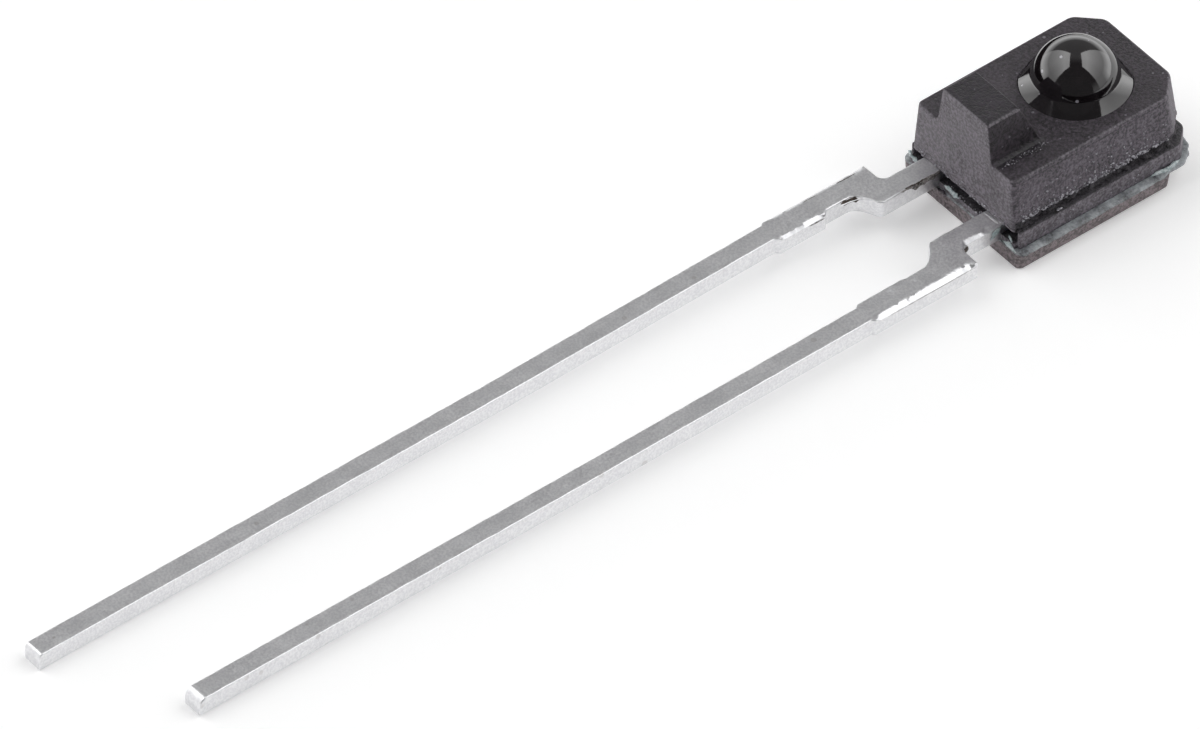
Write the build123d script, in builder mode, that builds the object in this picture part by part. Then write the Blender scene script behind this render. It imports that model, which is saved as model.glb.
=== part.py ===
from build123d import *
from math import asin, degrees, radians, sqrt, tan
import os

os.makedirs("parts", exist_ok=True)

# Side-view phototransistor: two stamped leads, a chip and a bond wire in one resin moulding.
# Millimetres. The origin is the foot of the lens axis on the flat back face, +Z is the lens
# axis, and the leads leave the moulding towards -Y. The emitter is the lead on the -X side.

# Heights of the moulding's three layers
back_height = 0.37
lead_thickness = 0.35
front_height = 1.08

# Back half, measured at the back face; near is the lead end, far the other end
back_width = 3.06
back_near = 2.48
back_far = 1.50
back_corner = 0.75
back_near_radius = 0.12
back_far_radius = 0.08
back_draft = 5.0
back_edge_radius = 0.04

# Trimmed band of resin at lead level, and the open slot left across its lead end
band_width = 2.88
band_near = 2.38
band_far = 1.45
band_corner = 0.33
band_radius = 0.03
slot_depth = 0.18
slot_height = 0.22
slot_cheek = 0.07
web_setback = 0.02

# Gate vestige on the lead end of the back half
gate_width = 0.62
gate_centre = -0.63
gate_proud = 0.04

# Front half, measured at the front face
face_width = 2.55
face_near = 2.41
face_far = 1.365
face_corner = 0.42
face_near_radius = 0.11
face_far_radius = 0.07
face_edge_radius = 0.045
side_draft = 5.3
end_draft = 1.6

# Guard rib across the lead end of the front face
rib_height = 0.81
rib_foot_width = 1.44
rib_top_width = 1.21
rib_foot_length = 1.07
rib_top_length = 0.715
rib_edge_radius = 0.05

# Lens: a polished cone that rises out of a shallow round recess and carries a dome
recess_radius = 0.985
recess_depth = 0.11
seat_height = 0.13
dome_radius = 0.765
dome_centre_rise = 0.058

# Leads outside the moulding
lead_pitch = 2.54
lead_width = 0.40
lean_end = 11.50
emitter_lean = 0.075
collector_lean = 0.04
emitter_tip = 21.35
collector_tip = 19.95
emitter_tip_radius = 0.07
collector_tip_radius = 0.15

# Jog from the narrow pitch at the moulding to the lead pitch
root_pitch = 1.655
root_width = 0.43
shoulder = 3.36
shoulder_radius = 0.13
step_start = 3.70
step_end = 3.92
step_outer_radius = 0.10
step_inner_radius = 0.30

# Cut ends of the bars that joined the leads in the strip
stub_start = 4.52
stub_end = 5.55
stub_proud = 0.075
shoulder_proud = 0.05

# Lead ends inside the resin
pad_width = 1.10
pad_length = 1.20
post_gap = 0.28
post_head_width = 0.52
post_head_length = 0.50

# Chip, its adhesive and its bond wire
chip_width = 0.60
chip_height = 0.28
adhesive_width = 0.66
adhesive_height = 0.02
chip_bond_inset = 0.12
wire_diameter = 0.04
ball_diameter = 0.10
ball_height = 0.04
wire_rise = 0.16
wire_bend_radius = 0.10
stitch_length = 0.10

# Levels and distances that follow from the sizes above
lead_bottom = back_height
lead_top = lead_bottom + lead_thickness
face_level = lead_top + front_height
rib_top = face_level + rib_height
slot_bottom = lead_top - slot_height
chip_top = lead_top + adhesive_height + chip_height
root_centre = root_pitch / 2
root_inner = root_centre - root_width / 2
root_outer = root_centre + root_width / 2
lead_centre = lead_pitch / 2
pad_near = pad_length / 2
post_end = pad_near + post_gap


def end_wall(level):
    """Distance of the drafted lead-end wall from the lens axis at a height."""
    return face_near - (level - face_level) * tan(radians(end_draft))


def block_outline(level, half_width, near, far, corner, near_radius, far_radius):
    """Outline of one layer: rounded at the lead end, its far corners cut off at 45 degrees."""
    with BuildSketch(Plane.XY.offset(level)) as outline:
        with BuildLine():
            Polyline(
                (-half_width, -near),
                (half_width, -near),
                (half_width, far - corner),
                (half_width - corner, far),
                (corner - half_width, far),
                (-half_width, far - corner),
                close=True,
            )
        make_face()
        fillet(outline.vertices().group_by(Axis.Y)[0], near_radius)
        fillet(outline.vertices().filter_by(lambda v: v.Y > 0), far_radius)
    return outline.sketch


def nearest(vertices, x, y):
    """The one vertex that stands at a place in the plan."""
    return vertices.sort_by(lambda v: (v.X - x) ** 2 + (v.Y - y) ** 2)[0]


def lead_outline(side, tip, lean):
    """Outline of a lead outside the resin: root, jog, cut stub and a run that leans to +X."""
    inner = lead_centre - lead_width / 2
    outer = lead_centre + lead_width / 2
    with BuildSketch(Plane.XY.offset(lead_bottom)) as outline:
        with BuildLine():
            Polyline(
                (side * root_inner, -post_end),
                (side * root_inner, -step_start),
                (side * inner, -step_end),
                (side * inner, -stub_start),
                (side * (inner - stub_proud), -stub_start - stub_proud),
                (side * (inner - stub_proud), -stub_end),
                (side * inner, -stub_end - stub_proud),
                (side * inner + lean, -lean_end),
                (side * inner + lean, -tip),
                (side * outer + lean, -tip),
                (side * outer + lean, -lean_end),
                (side * outer, -stub_end - shoulder_proud),
                (side * (outer + shoulder_proud), -stub_end),
                (side * (outer + shoulder_proud), -shoulder),
                (side * root_outer, -shoulder),
                (side * root_outer, -post_end),
                close=True,
            )
        make_face()
        corners = outline.vertices()
        fillet(nearest(corners, side * root_inner, -step_start), step_outer_radius)
        fillet(nearest(outline.vertices(), side * inner, -step_end), step_inner_radius)
        fillet(nearest(outline.vertices(), side * root_outer, -shoulder), shoulder_radius)
    return outline.sketch


# Emitter lead: root, jog and run, and the bonding post inside the resin
with BuildPart() as emitter_lead:
    add(lead_outline(-1, emitter_tip, emitter_lean))
    with BuildSketch(Plane.XY.offset(lead_bottom)):
        with Locations((-root_outer, -post_end)):
            Rectangle(post_head_width, post_head_length, align=(Align.MIN, Align.MAX))
    extrude(amount=lead_thickness)
    emitter_tip_edge = emitter_lead.faces().sort_by(Axis.Y)[0].edges().sort_by(Axis.Z)[-1]
    fillet(emitter_tip_edge, emitter_tip_radius)
emitter_lead.part.label = "emitter_lead"
export_step(emitter_lead.part, "parts/emitter_lead.step")

# Collector lead: the same run, shorter, and the die pad under the lens axis
with BuildPart() as collector_lead:
    add(lead_outline(1, collector_tip, collector_lean))
    with BuildSketch(Plane.XY.offset(lead_bottom)):
        with Locations((root_outer, 0)):
            Rectangle(root_outer + pad_width / 2, pad_length, align=(Align.MAX, Align.CENTER))
        with Locations((root_inner, -post_end)):
            Rectangle(root_width, post_gap, align=(Align.MIN, Align.MIN))
    extrude(amount=lead_thickness)
    collector_tip_edge = collector_lead.faces().sort_by(Axis.Y)[0].edges().sort_by(Axis.Z)[-1]
    fillet(collector_tip_edge, collector_tip_radius)
collector_lead.part.label = "collector_lead"
export_step(collector_lead.part, "parts/collector_lead.step")

# Adhesive between the pad and the chip
with BuildPart() as die_attach:
    with BuildSketch(Plane.XY.offset(lead_top)):
        Rectangle(adhesive_width, adhesive_width)
    extrude(amount=adhesive_height)
die_attach.part.label = "die_attach"
export_step(die_attach.part, "parts/die_attach.step")

# Chip, centred under the lens
with BuildPart() as chip:
    with BuildSketch(Plane.XY.offset(lead_top + adhesive_height)):
        Rectangle(chip_width, chip_width)
    extrude(amount=chip_height)
chip.part.label = "chip"
export_step(chip.part, "parts/chip.step")

# Bond wire: a ball on the chip's emitter pad, a loop, and a stitch on the bonding post
ball_place = chip_bond_inset - chip_width / 2
ball_foot = Vector(ball_place, ball_place, chip_top)
stitch_foot = Vector(-root_centre, -post_end - post_head_length / 2, lead_top)
loop_top = chip_top + ball_height + wire_rise
wire_level = lead_top + wire_diameter / 2
heading = Vector(stitch_foot.X - ball_foot.X, stitch_foot.Y - ball_foot.Y, 0).normalized()
wire_start = ball_foot + Vector(0, 0, ball_height / 2)
wire_peak = Vector(ball_foot.X, ball_foot.Y, loop_top)
wire_landing = Vector(stitch_foot.X, stitch_foot.Y, wire_level)
wire_end = wire_landing + heading * stitch_length
with BuildPart() as bond_wire:
    with BuildLine() as wire_path:
        FilletPolyline(wire_start, wire_peak, wire_landing, wire_end, radius=wire_bend_radius)
    with BuildSketch(Plane(wire_start, z_dir=(0, 0, 1))):
        Circle(wire_diameter / 2)
    sweep(path=wire_path.line)
    with BuildSketch(Plane.XY.offset(chip_top)):
        with Locations((ball_foot.X, ball_foot.Y)):
            Circle(ball_diameter / 2)
    extrude(amount=ball_height)
bond_wire.part.label = "bond_wire"
export_step(bond_wire.part, "parts/bond_wire.step")

# Body: front half, rib, lens, band and back half in one moulding around everything above
with BuildPart() as body:
    front_spread = front_height * tan(radians(side_draft))
    for level, spread in ((lead_top, front_spread), (face_level, 0)):
        add(
            block_outline(
                level,
                face_width / 2 + spread,
                end_wall(level),
                face_far + spread,
                face_corner,
                face_near_radius,
                face_far_radius,
            )
        )
    loft()
    fillet(body.faces().sort_by(Axis.Z)[-1].edges(), face_edge_radius)

    rib_root = 2 * face_edge_radius
    rib_sections = ((-rib_root / rib_height, face_level - rib_root), (1, rib_top))
    for share, level in rib_sections:
        section_width = rib_foot_width + (rib_top_width - rib_foot_width) * share
        section_length = rib_foot_length + (rib_top_length - rib_foot_length) * share
        section_near = end_wall(level)
        section_far = face_near - section_length
        with BuildSketch(Plane.XY.offset(level)):
            with Locations((0, -(section_near + section_far) / 2)):
                Rectangle(section_width, section_near - section_far)
    loft()
    fillet(body.faces().sort_by(Axis.Z)[-1].edges(), rib_edge_radius)

    with BuildSketch(Plane.XY.offset(face_level)):
        Circle(recess_radius)
    extrude(amount=-recess_depth, mode=Mode.SUBTRACT)
    seat_top = face_level + seat_height
    dome_centre = face_level + dome_centre_rise
    dome_foot_angle = asin((seat_height - dome_centre_rise) / dome_radius)
    dome_foot_radius = sqrt(dome_radius**2 - (seat_height - dome_centre_rise) ** 2)
    with BuildSketch(Plane.XZ):
        with BuildLine():
            CenterArc(
                (0, dome_centre),
                dome_radius,
                degrees(dome_foot_angle),
                90 - degrees(dome_foot_angle),
            )
            Polyline(
                (dome_foot_radius, seat_top),
                (recess_radius, face_level - recess_depth),
                (recess_radius, lead_top),
                (0, lead_top),
                (0, dome_centre + dome_radius),
            )
        make_face()
    revolve(axis=Axis.Z)

    back_spread = back_height * tan(radians(back_draft))
    for level, spread in ((0, 0), (back_height, back_spread)):
        add(
            block_outline(
                level,
                back_width / 2 + spread,
                back_near,
                back_far + spread,
                back_corner,
                back_near_radius,
                back_far_radius,
            )
        )
    loft()
    fillet(body.faces().sort_by(Axis.Z)[0].edges(), back_edge_radius)
    with BuildSketch(Plane.XY.offset(back_edge_radius)):
        with Locations((gate_centre, -back_near)):
            Rectangle(gate_width, 2 * gate_proud)
    extrude(amount=back_height - back_edge_radius)

    add(
        block_outline(
            lead_bottom, band_width / 2, band_near, band_far, band_corner, band_radius, band_radius
        )
    )
    extrude(amount=lead_thickness)
    slot_width = band_width - 2 * slot_cheek
    slot_back = band_near - slot_depth
    with BuildSketch(Plane.XY.offset(slot_bottom)):
        with Locations((0, -slot_back)):
            Rectangle(slot_width, slot_depth, align=(Align.CENTER, Align.MAX))
    extrude(amount=slot_height, mode=Mode.SUBTRACT)
    with BuildSketch(Plane.XY.offset(lead_bottom)):
        with Locations((0, -slot_back)):
            web_length = back_near - web_setback - slot_back
            Rectangle(slot_width, web_length, align=(Align.CENTER, Align.MAX))
    extrude(amount=lead_thickness - slot_height)

    add(emitter_lead.part, mode=Mode.SUBTRACT)
    add(collector_lead.part, mode=Mode.SUBTRACT)
    add(die_attach.part, mode=Mode.SUBTRACT)
    add(chip.part, mode=Mode.SUBTRACT)
    add(bond_wire.part, mode=Mode.SUBTRACT)
body.part.label = "body"
export_step(body.part, "parts/body.step")
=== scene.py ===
import random
from math import asin, atan2, cos, hypot, pi, radians, sin, sqrt, tan

import bmesh
import bpy
from mathutils import Matrix, Vector, noise


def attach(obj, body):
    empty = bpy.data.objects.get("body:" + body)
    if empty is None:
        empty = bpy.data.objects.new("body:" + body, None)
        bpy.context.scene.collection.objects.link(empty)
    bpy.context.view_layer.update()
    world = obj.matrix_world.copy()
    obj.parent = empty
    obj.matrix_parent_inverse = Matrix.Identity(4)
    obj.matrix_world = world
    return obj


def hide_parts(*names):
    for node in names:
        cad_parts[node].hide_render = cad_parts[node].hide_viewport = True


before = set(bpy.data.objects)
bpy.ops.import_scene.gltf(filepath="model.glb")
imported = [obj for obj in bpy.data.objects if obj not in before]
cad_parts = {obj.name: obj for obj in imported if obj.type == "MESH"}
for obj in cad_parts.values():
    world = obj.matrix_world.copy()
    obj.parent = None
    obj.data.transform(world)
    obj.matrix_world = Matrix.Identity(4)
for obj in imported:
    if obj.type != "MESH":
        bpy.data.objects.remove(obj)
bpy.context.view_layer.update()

mm = 0.001
white = (1, 1, 1, 1)
upward = Vector((0, 0, 1))
sideways = Vector((1, 0, 0))
print("frame loaded:", sorted(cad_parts))


# Loops, rings and small mesh helpers; lengths are in millimetres up to the camera
def roundedLoop(corners, radii, arcSteps, edgeSteps):
    arcs = []
    for i, corner in enumerate(corners):
        before = (corners[i - 1] - corner).normalized()
        after = (corners[(i + 1) % len(corners)] - corner).normalized()
        half = before.angle(after) / 2
        centre = corner + (before + after).normalized() * radii[i] / sin(half)
        start = corner + before * radii[i] / tan(half)
        end = corner + after * radii[i] / tan(half)
        arcs.append([
            centre + (start.lerp(end, k / arcSteps) - centre).normalized() * radii[i]
            for k in range(arcSteps + 1)
        ])
    points = []
    for i, arc in enumerate(arcs):
        following = arcs[(i + 1) % len(arcs)][0]
        points += arc
        points += [arc[-1].lerp(following, k / edgeSteps[i]) for k in range(1, edgeSteps[i])]
    return points


def loopNormals(points):
    normals = []
    for i, point in enumerate(points):
        into = (point - points[i - 1]).normalized()
        out = (points[(i + 1) % len(points)] - point).normalized()
        a = Vector((into.y, -into.x))
        b = Vector((out.y, -out.x))
        normals.append((a + b) / (1 + a.dot(b)))
    return normals


def ringMesh(name, rings, wrap=False, lastCap=True):
    count = len(rings[0])
    verts = [Vector(point) * mm for ring in rings for point in ring]
    faces = []
    for level in range(len(rings) if wrap else len(rings) - 1):
        low = level * count
        high = ((level + 1) % len(rings)) * count
        for i in range(count):
            j = (i + 1) % count
            faces.append((low + i, low + j, high + j, high + i))
    if not wrap:
        faces.append(tuple(reversed(range(count))))
        if lastCap:
            faces.append(tuple(range(len(verts) - count, len(verts))))
    mesh = bpy.data.meshes.new(name)
    mesh.from_pydata(verts, [], faces)
    return mesh


def tidyMesh(mesh):
    weld = 0.0003 * mm
    bm = bmesh.new()
    bm.from_mesh(mesh)
    bmesh.ops.remove_doubles(bm, verts=bm.verts, dist=weld)
    bmesh.ops.dissolve_degenerate(bm, edges=bm.edges, dist=weld)
    bmesh.ops.recalc_face_normals(bm, faces=bm.faces)
    bm.to_mesh(mesh)
    bm.free()


def linkObject(name, data):
    obj = bpy.data.objects.new(name, data)
    bpy.context.scene.collection.objects.link(obj)
    return obj


def addObject(name, mesh, materials=(), sharpAngle=34):
    tidyMesh(mesh)
    for material in materials:
        mesh.materials.append(material)
    mesh.polygons.foreach_set("use_smooth", [True] * len(mesh.polygons))
    mesh.set_sharp_from_angle(angle=radians(sharpAngle))
    return linkObject(name, mesh)


def combine(base, other, operation="UNION"):
    for part in (base, other):
        part.data.transform(Matrix.Scale(1 / mm, 4))  # the solver wants lengths near one
    join = base.modifiers.new("combine", "BOOLEAN")
    join.operation = operation
    join.solver = "EXACT"
    join.object = other
    bpy.context.view_layer.update()
    done = base.evaluated_get(bpy.context.evaluated_depsgraph_get())
    mesh = bpy.data.meshes.new_from_object(done)
    base.modifiers.clear()
    mesh.transform(Matrix.Scale(mm, 4))
    used = (base.data, other.data)
    base.data = mesh
    bpy.data.objects.remove(other)
    for old in used:
        bpy.data.meshes.remove(old)


def joinMeshes(name, meshes):
    bm = bmesh.new()
    for mesh in meshes:
        bm.from_mesh(mesh)
        bpy.data.meshes.remove(mesh)
    whole = bpy.data.meshes.new(name)
    bm.to_mesh(whole)
    bm.free()
    return whole


def wobble(x, y, z, seed=0):  # smooth noise, another patch of it for each seed
    return noise.noise(Vector((x + 7.3 * seed, y - 3.1 * seed, z + 5.7 * seed)))


def wobbleAt(spot, across, up, seed):
    return wobble(spot.x * across, spot.y * across, spot.z * up, seed)


def smoothStep(low, high, value):
    share = max(0, min(1, (value - low) / (high - low)))
    return share * share * (3 - 2 * share)


# Shader node helpers
def newGroup(name, inputs, outputs):
    group = bpy.data.node_groups.new(name, "ShaderNodeTree")
    for label, value in inputs.items():
        socket = group.interface.new_socket(label, in_out="INPUT", socket_type="NodeSocketFloat")
        socket.default_value = value
    for label in outputs:
        group.interface.new_socket(label, in_out="OUTPUT", socket_type="NodeSocketFloat")
    return group, group.nodes.new("NodeGroupInput"), group.nodes.new("NodeGroupOutput")


def setSocket(tree, socket, value):
    if isinstance(value, bpy.types.NodeSocket):
        tree.links.new(value, socket)
    else:
        socket.default_value = value


def addNode(tree, kind, links=None, **settings):
    node = tree.nodes.new("ShaderNode" + kind)
    for key, value in settings.items():
        setattr(node, key, value)
    for key, value in (links or {}).items():
        setSocket(tree, node.inputs[key], value)
    return node


def maths(tree, operation, a, b=0.0):
    return addNode(tree, "Math", {0: a, 1: b}, operation=operation).outputs[0]


def times(tree, a, b):
    return maths(tree, "MULTIPLY", a, b)


def spread(tree, value, low, high, toLow=0.0, toHigh=1.0):
    links = {"Value": value, "From Min": low, "From Max": high, "To Min": toLow, "To Max": toHigh}
    return addNode(tree, "MapRange", links).outputs["Result"]


def cloudNoise(tree, scale, detail, vector=None, **more):
    place = vector or addNode(tree, "TexCoord").outputs["Object"]
    return addNode(tree, "TexNoise", {"Vector": place, "Scale": scale, "Detail": detail,
                                      **more}).outputs[0]


def blendColours(tree, factor, a, b):
    node = addNode(tree, "Mix", data_type="RGBA")
    for number, value in zip((0, 6, 7), (factor, a, b)):  # the colour sockets of a Mix node
        setSocket(tree, node.inputs[number], value)
    return node.outputs[2]


# Spark-eroded grain, and loose specks, both shared by several materials
def makeGrainGroup():
    group, source, sink = newGroup("sparkGrain", {"Size": 0.03, "Patch": 0.4},
                                   ["Height", "Tone"])
    fineScale = maths(group, "DIVIDE", 1 / mm, source.outputs["Size"])
    patchScale = maths(group, "DIVIDE", 1 / mm, source.outputs["Patch"])
    fine = cloudNoise(group, fineScale, 3.0, Roughness=0.65)
    patch = cloudNoise(group, patchScale, 4.0)
    grit = times(group, spread(group, fine, 0.42, 0.60), 0.7)
    cloud = times(group, spread(group, patch, 0.3, 0.7), 0.3)
    group.links.new(fine, sink.inputs["Height"])
    group.links.new(maths(group, "ADD", grit, cloud), sink.inputs["Tone"])
    return group


def makeSpeckGroup():
    group, source, sink = newGroup("looseSpecks", {"Size": 0.1, "Share": 0.2}, ["Mask"])
    place = addNode(group, "TexCoord").outputs["Object"]
    scale = maths(group, "DIVIDE", 1 / mm, source.outputs["Size"])
    cells = addNode(group, "TexVoronoi", {"Vector": place, "Scale": scale})
    chosen = addNode(group, "SeparateColor", {"Color": cells.outputs["Color"]})
    picked = maths(group, "LESS_THAN", chosen.outputs["Red"], source.outputs["Share"])
    reach = spread(group, chosen.outputs["Green"], 0.0, 1.0, 0.06, 0.24)
    near = maths(group, "SUBTRACT", reach, cells.outputs["Distance"])
    dot = spread(group, near, 0.0, 0.06)
    group.links.new(times(group, picked, dot), sink.inputs["Mask"])
    return group


grainGroup = makeGrainGroup()
speckGroup = makeSpeckGroup()


def useGroup(tree, group, **values):
    node = tree.nodes.new("ShaderNodeGroup")
    node.node_tree = group
    for key, value in values.items():
        node.inputs[key].default_value = value
    return node.outputs


def newMaterial(name, **fixed):
    material = bpy.data.materials.new(name)
    material.use_nodes = True
    tree = material.node_tree
    shader = tree.nodes["Principled BSDF"]
    for key, value in fixed.items():
        shader.inputs[key.replace("_", " ")].default_value = value
    return material, tree, shader


def dress(tree, shader, colour=None, rough=None, height=None, depth=0.0, strength=1.0):
    if colour is not None:
        tree.links.new(colour, shader.inputs["Base Color"])
    if rough is not None:
        tree.links.new(rough, shader.inputs["Roughness"])
    if height is not None:
        bump = addNode(tree, "Bump", {"Height": height, "Distance": depth * mm,
                                      "Strength": strength})
        tree.links.new(bump.outputs["Normal"], shader.inputs["Normal"])


# A plain material: grain between two colours, with the clouds, specks, roughness and bump
# that its look asks for
def makePlain(name, look, **fixed):
    material, tree, shader = newMaterial(name, **fixed)
    grain = useGroup(tree, grainGroup, Size=look["size"], Patch=look["patch"])
    tone = grain["Tone"]
    rough = spread(tree, tone, *look["rough"]) if "rough" in look else None
    if "cloudScale" in look:
        cloud = spread(tree, cloudNoise(tree, look["cloudScale"] / mm, 5.0), 0.38, 0.64)
        tone = maths(tree, "ADD", times(tree, tone, 0.45), times(tree, cloud, 0.55))
    colour = blendColours(tree, tone, *look["colours"])
    if "specks" in look:
        size, share = look["specks"]
        specks = useGroup(tree, speckGroup, Size=size, Share=share)
        colour = blendColours(tree, specks["Mask"], colour, look["speck"])
    height = grain["Height"] if "bump" in look else None
    dress(tree, shader, colour, rough, height, look.get("bump", 0.0))
    return material


# Black moulding resin. A colour pair is dark and pale grain; a ramp is where its mask starts
# and where it is full, by height or by the facing of the surface
resin = {
    "skin": ((0.0030, 0.0016, 0.0030, 1), (0.062, 0.050, 0.064, 1)),
    # painted light: the wall pair is a paler copy of the resin for the upright walls, the lead-end
    # pair a paler one still
    "litWall": ((0.014, 0.010, 0.015, 1), (0.178, 0.154, 0.186, 1)),
    "leadEnd": ((0.060, 0.051, 0.061, 1), (0.265, 0.242, 0.272, 1)),
    "back": ((0.062, 0.050, 0.054, 1), (0.34, 0.285, 0.297, 1)),
    # painted shade: the dark pair for the rib top and the rib foot, which are also smoother
    "smoothAndShaded": ((0.0012, 0.0006, 0.0012, 1), (0.020, 0.013, 0.023, 1)),
    "speck": (0.32, 0.31, 0.35, 1), "grainSize": 0.056, "grainPatch": 0.5, "grainDepth": 0.024,
    "ramps": {"upright": (0.85, 0.35), "belowFace": (1.86, 1.74), "leadEnd": (-0.75, -0.97),
              "offLeadEnd": (-0.9, -0.7), "back": (0.37, 0.31), "shadedRibTop": (2.45, 2.56),
              "flat": (0.4, 0.9), "footLevel": (1.92, 1.85), "footCloud": (0.36, 0.50)},
    # painted shade: a dark patch on the face beside the rib's right foot
    "paintedFootShade": {"x": (0.62, 0.93), "y": (-2.36, -1.36), "soft": 0.09},
    # painted highlights: paler lines on the rounded top edges of the face and the rib
    "highlightEdges": ((1.768, 1.794), (2.568, 2.604)), "witnessLine": (1.69, 1.715),
    # painted light: the band below the groove is lightened with the lead-end pair where it lies in
    # shade
    "band": (0.40, 0.715),
    "dust": (1.9 * mm, 0.9 * mm, 0.34, 0.66), "rough": (0.2, 0.8, 0.44, 0.62),
    "ior": 1.50, "polishedIor": 1.90,
}


def makeMattResin():
    material, tree, shader = newMaterial("resinMatt", IOR=resin["ior"])
    grain = useGroup(tree, grainGroup, Size=resin["grainSize"], Patch=resin["grainPatch"])
    specks = useGroup(tree, speckGroup, Size=0.13, Share=0.30)
    coords = addNode(tree, "TexCoord").outputs
    place = addNode(tree, "SeparateXYZ", {0: coords["Object"]}).outputs
    facing = addNode(tree, "SeparateXYZ", {0: coords["Normal"]}).outputs
    height = place["Z"]
    cloud = cloudNoise(tree, 3.5 / mm, 4.0)

    def ramp(name, value, unit=1.0):
        start, full = resin["ramps"][name]
        return spread(tree, value, start * unit, full * unit)

    def within(value, limits, soft):
        low = spread(tree, value, (limits[0] - soft) * mm, (limits[0] + soft) * mm)
        high = spread(tree, value, (limits[1] + soft) * mm, (limits[1] - soft) * mm)
        return times(tree, low, high)

    def layer(colour, mask, pair, share=None):
        over = blendColours(tree, grain["Tone"], *resin[pair])
        return blendColours(tree, times(tree, mask, share) if share else mask, colour, over)

    # painted light: upright walls below the face take the paler wall colour, so the top face stays
    # darkest
    litWall = times(tree, ramp("upright", maths(tree, "ABSOLUTE", facing["Z"])),
                 ramp("belowFace", height, mm))
    # painted shade: the rib's top is darkened where it faces up
    shadedRibTop = times(tree, ramp("shadedRibTop", height, mm), ramp("flat", facing["Z"]))
    # painted shade: a cloud-broken dark patch on the face beside the rib's right foot
    foot = resin["paintedFootShade"]
    paintedFootShade = times(tree, within(place["X"], foot["x"], foot["soft"]),
                     within(place["Y"], foot["y"], foot["soft"]))
    paintedFootShade = times(tree, paintedFootShade, ramp("footLevel", height, mm))
    paintedFootShade = times(tree, paintedFootShade, ramp("footCloud", cloud))
    # painted shade of the rib top and foot; the same mask makes them smoother below
    smoothAndShaded = maths(tree, "MAXIMUM", shadedRibTop, paintedFootShade)
    # painted highlights along the rounded top edges of the face and the rib
    edgeHighlight = maths(tree, "MAXIMUM", *(within(height, edge, 0.006) for edge in resin["highlightEdges"]))
    witness = times(tree, within(height, resin["witnessLine"], 0.01),
                    ramp("offLeadEnd", facing["Y"]))

    colour = blendColours(tree, grain["Tone"], *resin["skin"])
    # painted light: paler walls, and a paler still wall where it faces the lead end
    colour = layer(colour, litWall, "litWall")
    colour = layer(colour, ramp("leadEnd", facing["Y"]), "leadEnd")
    colour = layer(colour, ramp("back", height, mm), "back")
    # painted shade on the rib top and beside the rib foot
    colour = layer(colour, smoothAndShaded, "smoothAndShaded")
    # painted light: the band below the groove is lightened where it lies in shade
    colour = layer(colour, within(height, resin["band"], 0.01), "leadEnd", 0.75)
    # painted highlights on the rounded edges
    colour = layer(colour, edgeHighlight, "leadEnd", 0.7)
    colour = layer(colour, witness, "skin", 0.8)
    dust = times(tree, specks["Mask"], spread(tree, height, *resin["dust"]))
    colour = blendColours(tree, dust, colour, resin["speck"])
    rough = maths(tree, "ADD", spread(tree, grain["Tone"], *resin["rough"]),
                  times(tree, smoothAndShaded, -0.16))
    dress(tree, shader, colour, rough, grain["Height"], resin["grainDepth"])
    return material


polishedLook = {"size": 0.20, "patch": 0.9, "rough": (0.0, 1.0, 0.05, 0.10), "bump": 0.0006,
                "colours": ((0.0050, 0.0034, 0.0044, 1), (0.0090, 0.0068, 0.0082, 1)),
                "specks": (0.15, 0.06), "speck": resin["speck"]}
# broken resin whose near-black colour is also painted shade in the torn groove and the open slot
brokenShadedLook = {"size": 0.035, "patch": 0.2, "rough": (0.2, 0.8, 0.35, 0.6), "bump": 0.02,
              "colours": ((0.0015, 0.001, 0.0015, 1), (0.095, 0.086, 0.10, 1))}
flashLook = {"size": 0.06, "patch": 0.25, "rough": (0.2, 0.8, 0.28, 0.5), "bump": 0.012,
             "colours": ((0.055, 0.057, 0.064, 1), (0.46, 0.49, 0.51, 1)), "cloudScale": 3.2}
thinLook = {"size": 0.05, "patch": 0.15, "rough": (0.2, 0.8, 0.2, 0.4), "bump": 0.01,
            "colours": ((0.27, 0.35, 0.36, 1), (0.62, 0.67, 0.68, 1))}
dustLook = {"size": 0.05, "patch": 0.3,
            "colours": ((0.10, 0.092, 0.11, 1), (0.62, 0.61, 0.66, 1))}


# Tin drawn along the leads, with a few faint stains
tin = {"size": 0.045, "patch": 0.35, "colours": ((0.74, 0.74, 0.76, 1), (0.88, 0.88, 0.89, 1)),
       "rough": (0.2, 0.8, 0.30, 0.44), "bump": 0.004, "bumpStrength": 0.3,
       "drawn": (9.0, 1.1, 9.0), "stain": (0.40, 0.36, 0.33, 1), "stainShare": 0.25}


def makeTin():
    material, tree, shader = newMaterial("tinPlate", Metallic=1.0)
    grain = useGroup(tree, grainGroup, Size=tin["size"], Patch=tin["patch"])
    specks = useGroup(tree, speckGroup, Size=0.30, Share=0.12)
    place = addNode(tree, "TexCoord").outputs["Object"]
    streak = addNode(tree, "Mapping", {"Vector": place, "Scale": tin["drawn"]}).outputs[0]
    drawn = cloudNoise(tree, 2.2 / mm, 4.0, streak)
    tone = maths(tree, "ADD", times(tree, grain["Tone"], 0.6), times(tree, drawn, 0.4))
    colour = blendColours(tree, spread(tree, tone, 0.25, 0.75), *tin["colours"])
    stain = times(tree, specks["Mask"], tin["stainShare"])
    dress(tree, shader, blendColours(tree, stain, colour, tin["stain"]),
          spread(tree, tone, *tin["rough"]), drawn, tin["bump"], tin["bumpStrength"])
    return material


grimeLook = {"size": 0.04, "patch": 0.12, "bump": 0.015,
             "colours": ((0.085, 0.072, 0.066, 1), (0.42, 0.39, 0.38, 1))}
# scar colours, also used for a strip of painted shade under a burr
scarAndShadeLook = dict(grimeLook, colours=((0.010, 0.006, 0.004, 1), (0.10, 0.075, 0.06, 1)))

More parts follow.
